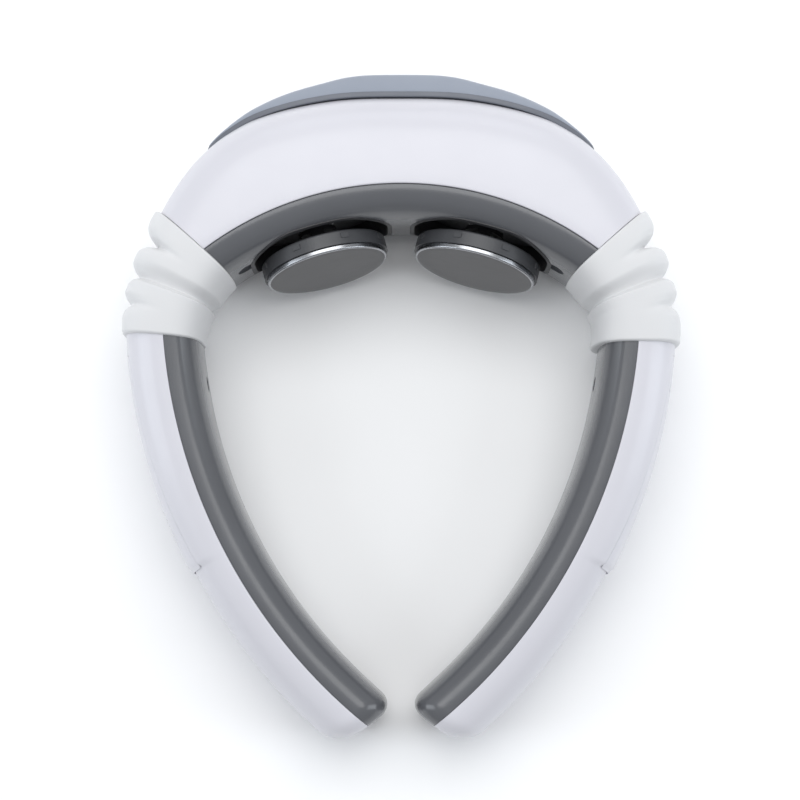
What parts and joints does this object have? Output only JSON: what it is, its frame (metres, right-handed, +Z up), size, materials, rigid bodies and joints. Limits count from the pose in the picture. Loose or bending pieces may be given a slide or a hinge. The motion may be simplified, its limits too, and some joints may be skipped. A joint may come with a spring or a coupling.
{
  "type": "neck massager",
  "caption": "U-shaped neck massager: ribbed rubber hinges join two curved arms to a rear housing with two floating round metal heads",
  "frame": {"origin": "middle of the bounding box in X and Y, on the flat underside in Z", "axes": "+Z up along the neck, +Y towards the rear housing (back of the neck), the arm tips point to -Y, +X to the picture's right"},
  "size_m": [0.16, 0.1895, 0.048],
  "materials": {
    "casing_white": "satin white moulded ABS",
    "lining_grey": "mid-dark grey moulded ABS, semi-gloss",
    "trim_blue_grey": "light blue-grey, satin",
    "bellows_rubber": "matte white silicone",
    "inner_plastic": "unpainted moulded nylon",
    "guide_dark": "black moulded acetal",
    "cup_dark": "dark grey moulded ABS",
    "electrode_steel": "polished stainless steel",
    "steel": "zinc-plated steel",
    "spring_steel": "spring wire",
    "cell_jacket": "plain dark cell jacket",
    "contact_metal": "nickel-plated spring sheet",
    "board_green": "solder-masked board",
    "switch_black": "moulded black",
    "lens_clear": "frosted clear lens",
    "button_grey": "matte grey keypad rubber"
  },
  "bodies": {
    "housing": {"rear_shell": "casing_white", "inner_shell": "lining_grey", "rear_trim_panel": "trim_blue_grey", "head_carrier": "inner_plastic", "carrier_screws": "steel", "left_head_guide": "guide_dark", "right_head_guide": "guide_dark", "left_hinge_bracket": "inner_plastic", "right_hinge_bracket": "inner_plastic", "left_hinge_pin": "steel", "right_hinge_pin": "steel", "left_hinge_spring": "spring_steel", "right_hinge_spring": "spring_steel", "left_bellows": "bellows_rubber", "right_bellows": "bellows_rubber", "left_head_spring": "spring_steel", "right_head_spring": "spring_steel"},
    "right_arm": {"right_arm_shell": "casing_white", "right_arm_lining": "lining_grey", "right_arm_knuckle": "inner_plastic", "right_arm_screw": "steel", "control_board": "board_green", "tact_switches": "switch_black", "button_panel": "casing_white", "indicator_lens": "lens_clear", "buzzer": "switch_black"},
    "left_arm": {"left_arm_shell": "casing_white", "left_arm_lining": "lining_grey", "left_arm_knuckle": "inner_plastic", "left_arm_screw": "steel", "battery_tray": "guide_dark", "battery_cells": "cell_jacket", "battery_contacts": "contact_metal"},
    "battery_door": {"battery_door": "casing_white"},
    "mode_button": {"mode_button": "button_grey"},
    "plus_button": {"plus_button": "button_grey"},
    "minus_button": {"minus_button": "button_grey"},
    "left_head_stem": {"left_head_stem": "guide_dark", "left_stem_clip": "steel"},
    "left_head_cross": {"left_head_cross": "steel"},
    "left_head": {"left_head_cup": "cup_dark", "left_electrode_plate": "electrode_steel", "left_electrode_nuts": "steel"},
    "right_head_stem": {"right_head_stem": "guide_dark", "right_stem_clip": "steel"},
    "right_head_cross": {"right_head_cross": "steel"},
    "right_head": {"right_head_cup": "cup_dark", "right_electrode_plate": "electrode_steel", "right_electrode_nuts": "steel"}
  },
  "joints": [
    {"name": "left_arm_spread", "type": "hinge", "parent": "housing", "child": "left_arm", "pos_m": [-0.06512, 0.03301, 0.02], "axis": [0, 0, -1], "range_deg": [0, 20], "stiffness_Nm_per_rad": 0.6, "deforming": ["left_bellows", "left_hinge_spring"]},
    {"name": "left_head_plunge", "type": "slide", "parent": "housing", "child": "left_head_stem", "axis": [-0.2556, 0.954, -0.1564], "range_m": [0, 0.004], "stiffness_N_per_m": 700, "springref_m": -0.003, "deforming": ["left_head_spring"]},
    {"name": "left_head_yaw", "type": "hinge", "parent": "left_head_stem", "child": "left_head_cross", "pos_m": [-0.02299, 0.04648, 0.0229], "axis": [0.0405, -0.1511, -0.9877], "range_deg": [-6, 6], "stiffness_Nm_per_rad": 0.25},
    {"name": "left_head_pitch", "type": "hinge", "parent": "left_head_cross", "child": "left_head", "pos_m": [-0.02299, 0.04648, 0.0229], "axis": [-0.9659, -0.2588, 0], "range_deg": [-6, 6], "stiffness_Nm_per_rad": 0.25},
    {"name": "right_arm_spread", "type": "hinge", "parent": "housing", "child": "right_arm", "pos_m": [0.06512, 0.03301, 0.02], "axis": [0, 0, 1], "range_deg": [0, 20], "stiffness_Nm_per_rad": 0.6, "deforming": ["right_bellows", "right_hinge_spring"]},
    {"name": "right_head_plunge", "type": "slide", "parent": "housing", "child": "right_head_stem", "axis": [0.2556, 0.954, -0.1564], "range_m": [0, 0.004], "stiffness_N_per_m": 700, "springref_m": -0.003, "deforming": ["right_head_spring"]},
    {"name": "right_head_yaw", "type": "hinge", "parent": "right_head_stem", "child": "right_head_cross", "pos_m": [0.02299, 0.04648, 0.0229], "axis": [-0.0405, -0.1511, -0.9877], "range_deg": [-6, 6], "stiffness_Nm_per_rad": 0.25},
    {"name": "right_head_pitch", "type": "hinge", "parent": "right_head_cross", "child": "right_head", "pos_m": [0.02299, 0.04648, 0.0229], "axis": [0.9659, -0.2588, 0], "range_deg": [-6, 6], "stiffness_Nm_per_rad": 0.25},
    {"name": "battery_door_slide", "type": "hinge", "parent": "left_arm", "child": "battery_door", "pos_m": [0.08835, 0.0305, 0.02], "axis": [0, 0, 1], "range_deg": [0, 6]},
    {"name": "mode_button_press", "type": "slide", "parent": "right_arm", "child": "mode_button", "axis": [-0.9728, 0.2317, 0], "range_m": [0, 0.0008], "stiffness_N_per_m": 600},
    {"name": "plus_button_press", "type": "slide", "parent": "right_arm", "child": "plus_button", "axis": [-0.9478, 0.319, 0], "range_m": [0, 0.0008], "stiffness_N_per_m": 600},
    {"name": "minus_button_press", "type": "slide", "parent": "right_arm", "child": "minus_button", "axis": [-0.9191, 0.3939, 0], "range_m": [0, 0.0008], "stiffness_N_per_m": 600}
  ]
}
